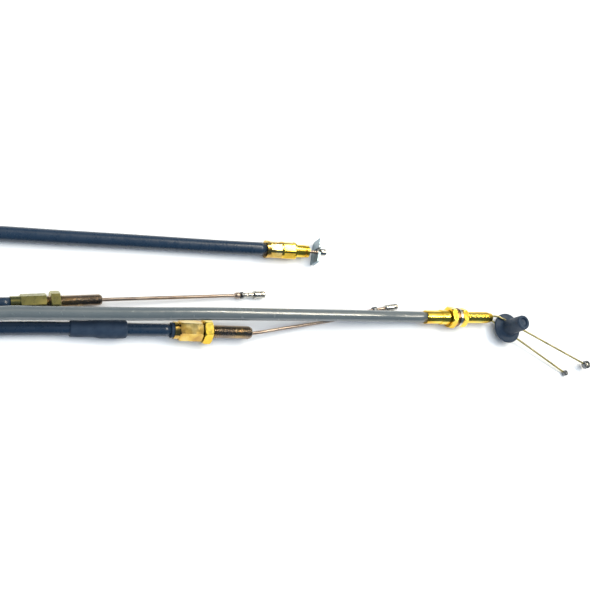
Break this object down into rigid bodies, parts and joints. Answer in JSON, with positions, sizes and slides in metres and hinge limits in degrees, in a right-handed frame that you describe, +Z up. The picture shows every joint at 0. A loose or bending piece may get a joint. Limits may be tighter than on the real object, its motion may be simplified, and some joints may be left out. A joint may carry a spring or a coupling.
{
  "type": "motorcycle throttle cable set",
  "caption": "Throttle cable assembly: a twin-wire twist-grip cable, a splitter box and output cables with threaded adjusters, clip and nipples.",
  "frame": {"origin": "bottom centre of the laid-out set's box, on the surface it lies on", "axes": "+X along the cables towards the free end fittings, +Y across them, +Z up from the surface"},
  "size_m": [0.5146, 0.0944, 0.0192],
  "materials": {
    "black_casing": "satin extruded",
    "grey_casing": "satin extruded",
    "black_plastic": "moulded",
    "slider_plastic": "moulded",
    "black_rubber": "matt",
    "plug_rubber": "satin",
    "yellow_zinc": "yellow zinc plate",
    "bronze_plate": "satin",
    "olive_zinc": "olive zinc plate",
    "dark_thread": "threaded",
    "steel": "bright",
    "dark_steel": "satin",
    "clip_steel": "zinc plate",
    "wire_strand": "stranded",
    "thin_wire_strand": "stranded",
    "washer_bronze": "satin",
    "washer_pale": "bright"
  },
  "bodies": {
    "casings": {"splitter_housing": "black_plastic", "splitter_cover": "black_plastic", "cover_screws": "steel", "pump_port_ferrule": "black_plastic", "left_port_ferrule": "black_plastic", "right_port_ferrule": "black_plastic", "grip_port_ferrule": "black_plastic", "pump_casing": "black_casing", "pump_sleeve": "bronze_plate", "pump_end_body": "yellow_zinc", "left_casing": "black_casing", "left_adjuster_body": "olive_zinc", "right_casing": "black_casing", "right_seal_ring": "black_rubber", "right_adjuster_body": "bronze_plate", "grip_casing": "grey_casing", "grip_sleeve": "yellow_zinc", "grip_threaded_tube": "yellow_zinc"},
    "slider": {"splitter_slider": "slider_plastic", "slider_nipples": "steel"},
    "pump_wire": {"pump_wire": "wire_strand", "pump_nipple": "steel"},
    "clip": {"pump_clip": "clip_steel"},
    "left_tube": {"left_adjuster_tube": "dark_thread"},
    "left_nut": {"left_lock_nut": "olive_zinc"},
    "left_wire": {"left_wire": "wire_strand", "left_wire_collar": "wire_strand", "left_wire_ring": "dark_steel", "left_nipple": "steel"},
    "right_tube": {"right_adjuster_tube": "dark_thread"},
    "right_nut": {"right_lock_nut": "yellow_zinc"},
    "right_wire": {"right_wire": "wire_strand", "right_wire_ring": "dark_steel", "right_nipple": "steel"},
    "boot": {"right_boot": "black_rubber"},
    "outer_nut": {"grip_outer_nut": "yellow_zinc"},
    "lock_washer": {"grip_lock_washer": "washer_bronze"},
    "flat_washer": {"grip_flat_washer": "washer_pale"},
    "thin_nut": {"grip_thin_nut": "yellow_zinc"},
    "wire_a": {"grip_wire_a": "thin_wire_strand", "grip_nipple_a": "dark_steel"},
    "wire_b": {"grip_wire_b": "thin_wire_strand", "grip_nipple_b": "dark_steel"},
    "plug": {"wire_plug": "plug_rubber"}
  },
  "joints": [
    {"name": "throttle_slide", "type": "slide", "parent": "casings", "child": "slider", "axis": [-1, 0, 0], "range_m": [0, 0.018]},
    {"name": "grip_wire_a_slide", "type": "slide", "parent": "casings", "child": "wire_a", "axis": [0.9998, -0.0175, 0], "range_m": [0, 0.018], "deforming": ["grip_wire_a"]},
    {"name": "grip_wire_b_slide", "type": "slide", "parent": "casings", "child": "wire_b", "axis": [0.9998, -0.0175, 0], "range_m": [0, 0.018], "deforming": ["grip_wire_b"]},
    {"name": "left_wire_slide", "type": "slide", "parent": "casings", "child": "left_wire", "axis": [-0.9988, -0.0401, 0.0288], "range_m": [0, 0.018]},
    {"name": "right_wire_slide", "type": "slide", "parent": "casings", "child": "right_wire", "axis": [-0.9972, -0.0697, 0.0262], "range_m": [0, 0.018], "deforming": ["right_wire"]},
    {"name": "pump_wire_slide", "type": "slide", "parent": "casings", "child": "pump_wire", "axis": [0.9997, -0.0262, 0], "range_m": [0, 0.012]},
    {"name": "pump_clip_slide", "type": "slide", "parent": "pump_wire", "child": "clip", "axis": [0.9997, -0.0262, 0], "range_m": [-0.0026, 0.0004]},
    {"name": "left_tube_screw", "type": "slide", "parent": "casings", "child": "left_tube", "axis": [0.9992, 0.0401, 0], "range_m": [-0.0012, 0.006]},
    {"name": "left_nut_spin", "type": "hinge", "parent": "left_tube", "child": "left_nut", "pos_m": [-0.03009, 0.0149, 0.004], "axis": [0.9992, 0.0401, 0], "continuous": true},
    {"name": "right_tube_screw", "type": "slide", "parent": "casings", "child": "right_tube", "axis": [0.9986, -0.0523, 0], "range_m": [0, 0.006]},
    {"name": "right_nut_spin", "type": "hinge", "parent": "right_tube", "child": "right_nut", "pos_m": [0.034, 0.00094, 0.005], "axis": [0.9986, -0.0523, 0], "continuous": true},
    {"name": "boot_slide", "type": "slide", "parent": "casings", "child": "boot", "axis": [0.9989, -0.0366, 0.0279], "range_m": [-0.008, 0.008]},
    {"name": "outer_nut_spin", "type": "hinge", "parent": "casings", "child": "outer_nut", "pos_m": [0.16727, 0.00602, 0.005], "axis": [0.9998, -0.0175, 0], "continuous": true},
    {"name": "lock_washer_spin", "type": "hinge", "parent": "casings", "child": "lock_washer", "pos_m": [0.16977, 0.00598, 0.005], "axis": [0.9998, -0.0175, 0], "continuous": true},
    {"name": "flat_washer_spin", "type": "hinge", "parent": "casings", "child": "flat_washer", "pos_m": [0.17152, 0.00595, 0.005], "axis": [0.9998, -0.0175, 0], "continuous": true},
    {"name": "thin_nut_spin", "type": "hinge", "parent": "casings", "child": "thin_nut", "pos_m": [0.17422, 0.0059, 0.005], "axis": [0.9998, -0.0175, 0], "continuous": true},
    {"name": "plug_slide", "type": "slide", "parent": "wire_a", "child": "plug", "axis": [0.9028, -0.4272, -0.0484], "range_m": [0, 0.03]}
  ],
  "couplings": [
    {"joint": "grip_wire_a_slide", "follows": "throttle_slide", "ratio": 1},
    {"joint": "grip_wire_b_slide", "follows": "throttle_slide", "ratio": 1},
    {"joint": "left_wire_slide", "follows": "throttle_slide", "ratio": 1},
    {"joint": "right_wire_slide", "follows": "throttle_slide", "ratio": 1}
  ]
}
